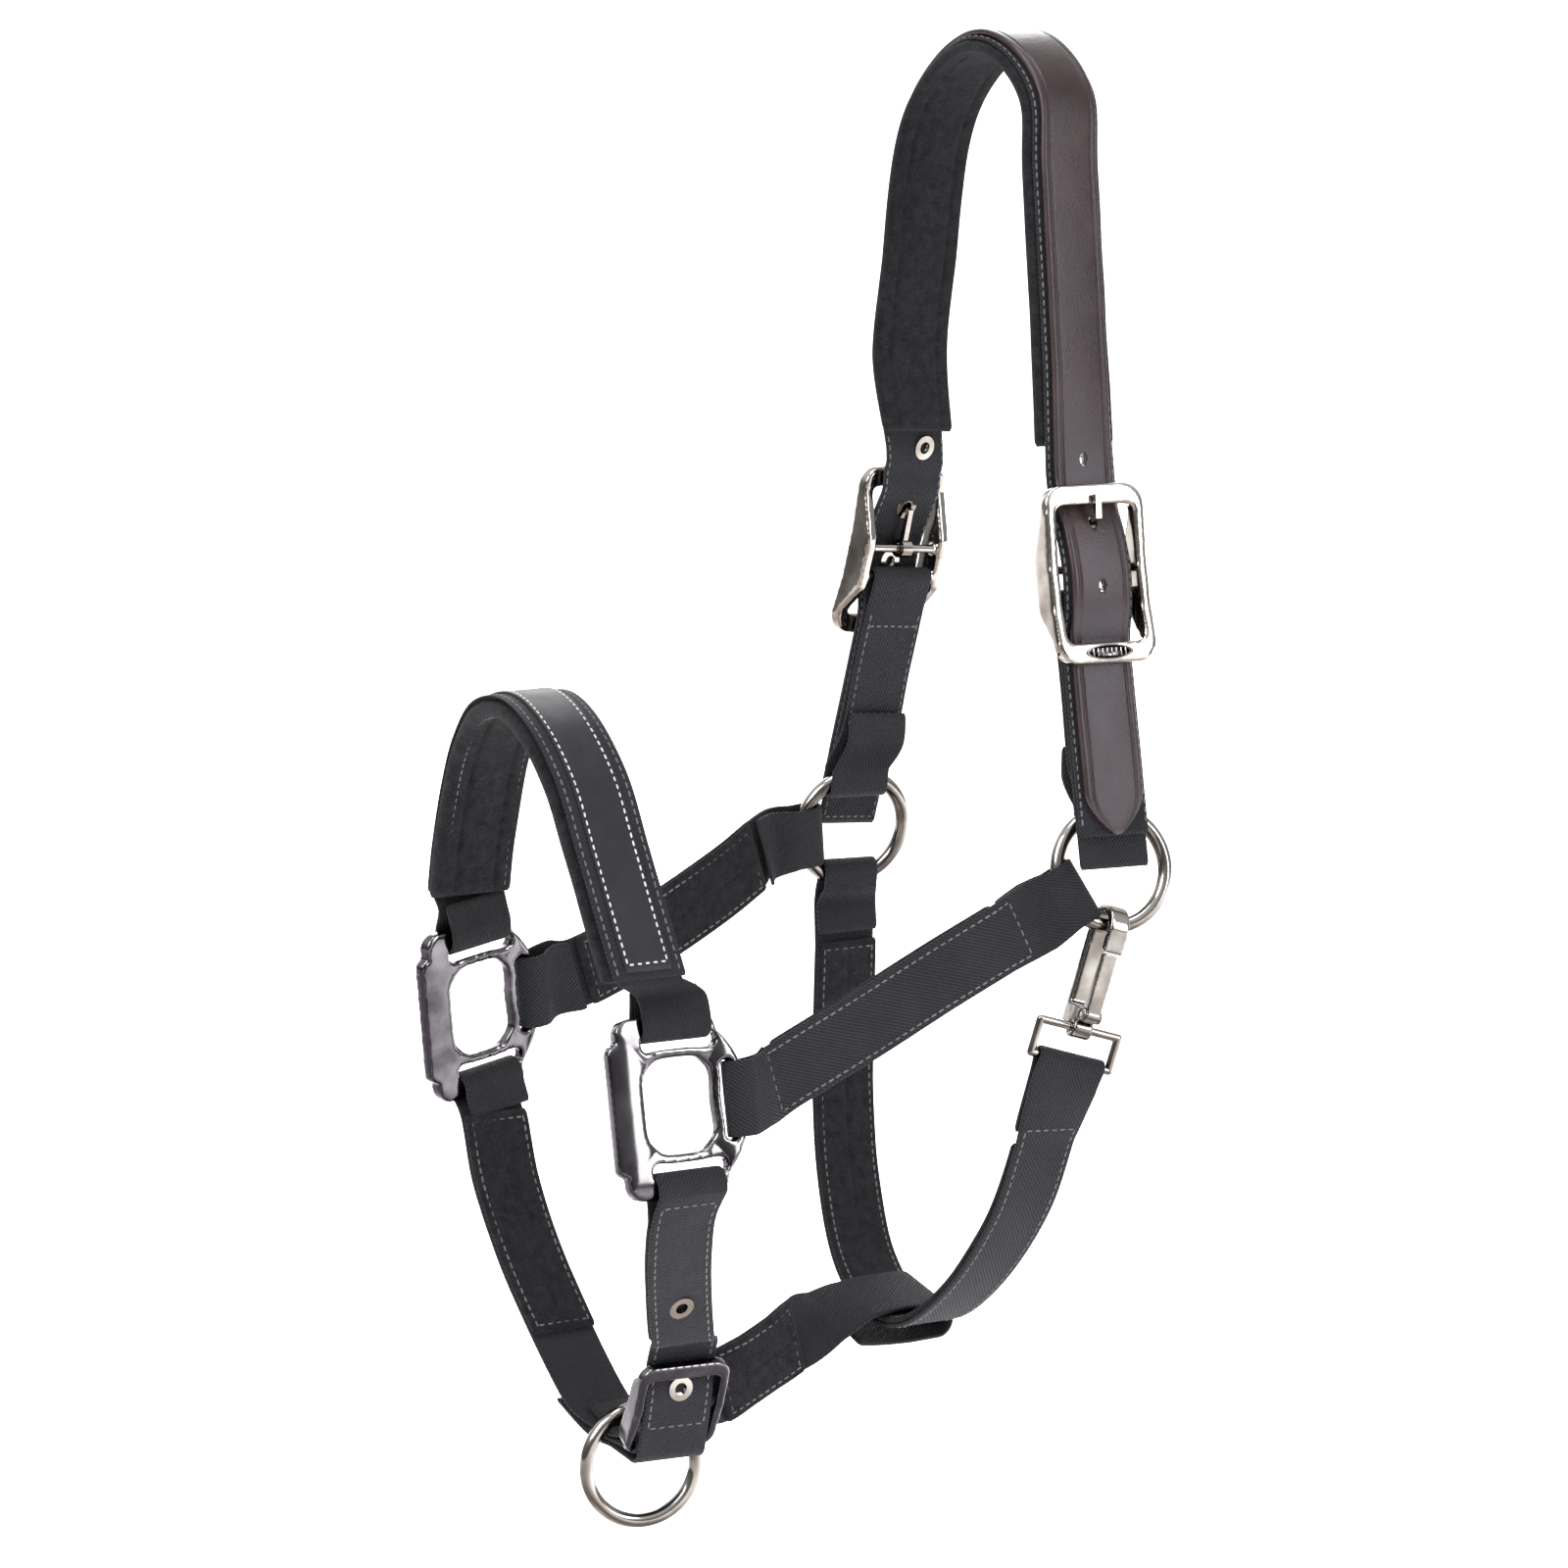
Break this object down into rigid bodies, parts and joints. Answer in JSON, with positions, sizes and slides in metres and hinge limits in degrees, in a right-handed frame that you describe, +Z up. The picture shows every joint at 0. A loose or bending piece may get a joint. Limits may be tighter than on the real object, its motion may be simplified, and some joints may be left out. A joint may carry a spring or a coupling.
{
  "type": "headcollar",
  "caption": "Webbing headcollar for a horse with a leather-faced crown, padded noseband, side squares and rings, chin ring and snap hook.",
  "frame": {"origin": "middle of the underside of the crown pad, where the headcollar rests on the poll", "axes": "-X towards the nose, -Y towards the near (left) side, +Z up"},
  "size_m": [0.2564, 0.1792, 0.5574],
  "materials": {
    "leather": "dark brown, waxed, with a soft sheen",
    "webbing": "black twill-woven webbing",
    "padding": "black soft fleece-like knit",
    "strip": "smooth charcoal strip",
    "nickel": "polished nickel",
    "gunmetal": "polished gunmetal"
  },
  "bodies": {
    "headcollar": {"crown_leather": "leather", "crown_webbing": "webbing", "crown_pad": "padding", "crown_eyelets": "nickel", "near_chape": "webbing", "far_chape": "webbing", "near_buckle_frame": "nickel", "far_buckle_frame": "nickel", "near_cheek_strap": "webbing", "far_cheek_strap": "webbing", "near_cheek_lining": "padding", "far_cheek_lining": "padding", "near_square": "gunmetal", "far_square": "gunmetal", "noseband_pad": "padding", "noseband_webbing": "webbing", "noseband_strip": "strip", "near_chin_strap": "webbing", "far_chin_strap": "webbing", "near_chin_lining": "padding", "far_chin_lining": "padding", "chin_eyelets": "nickel", "chin_buckle_frame": "gunmetal", "connector_strap": "webbing", "connector_lining": "padding", "throat_strap": "webbing", "throat_lining": "padding"},
    "near_tongue": {"near_buckle_tongue": "nickel"},
    "far_tongue": {"far_buckle_tongue": "nickel"},
    "chin_tongue": {"chin_buckle_tongue": "gunmetal"},
    "near_ring": {"near_ring": "nickel"},
    "far_ring": {"far_ring": "nickel"},
    "chin_ring": {"chin_ring": "nickel"},
    "eye": {"snap_eye": "nickel"},
    "hook": {"snap_body": "nickel", "snap_gate_pin": "nickel", "snap_gate_spring": "nickel"},
    "gate": {"snap_gate": "nickel"}
  },
  "joints": [
    {"name": "near_tongue_lift", "type": "hinge", "parent": "headcollar", "child": "near_tongue", "pos_m": [-0.0065, -0.062, -0.1925], "axis": [0.9943, -0.1063, -0.0085], "range_deg": [0, 3]},
    {"name": "far_tongue_lift", "type": "hinge", "parent": "headcollar", "child": "far_tongue", "pos_m": [-0.0025, 0.062, -0.1955], "axis": [-0.9888, -0.1222, 0.0853], "range_deg": [0, 3]},
    {"name": "chin_tongue_swing", "type": "hinge", "parent": "headcollar", "child": "chin_tongue", "pos_m": [-0.17131, -0.02051, -0.51329], "axis": [-0.9903, 0.1392, 0], "range_deg": [0, 23]},
    {"name": "chin_ring_swing", "type": "hinge", "parent": "headcollar", "child": "chin_ring", "pos_m": [-0.175, -0.01, -0.5128], "axis": [0.9703, -0.2419, 0], "range_deg": [-18, 8]},
    {"name": "near_ring_turn", "type": "hinge", "parent": "headcollar", "child": "near_ring", "pos_m": [-0.00608, -0.07731, -0.30482], "axis": [-0.2696, -0.9403, 0.2079], "continuous": true},
    {"name": "far_ring_turn", "type": "hinge", "parent": "headcollar", "child": "far_ring", "pos_m": [-0.01723, 0.07535, -0.30611], "axis": [0.2034, 0.9568, 0.2079], "continuous": true},
    {"name": "eye_swing", "type": "hinge", "parent": "headcollar", "child": "eye", "pos_m": [-0.02437, -0.07603, -0.37687], "axis": [0.9375, -0.1888, -0.2922], "range_deg": [-0.8, 0.8]},
    {"name": "hook_swing", "type": "hinge", "parent": "eye", "child": "hook", "pos_m": [-0.02074, -0.07725, -0.36445], "axis": [0.9375, -0.1888, -0.2922], "range_deg": [-0.7, 0.7]},
    {"name": "gate_open", "type": "hinge", "parent": "hook", "child": "gate", "pos_m": [-0.02023, -0.08328, -0.35891], "axis": [-0.9375, 0.1888, 0.2922], "range_deg": [0, 20], "stiffness_Nm_per_rad": 0.02, "springref_deg": -17.19}
  ]
}
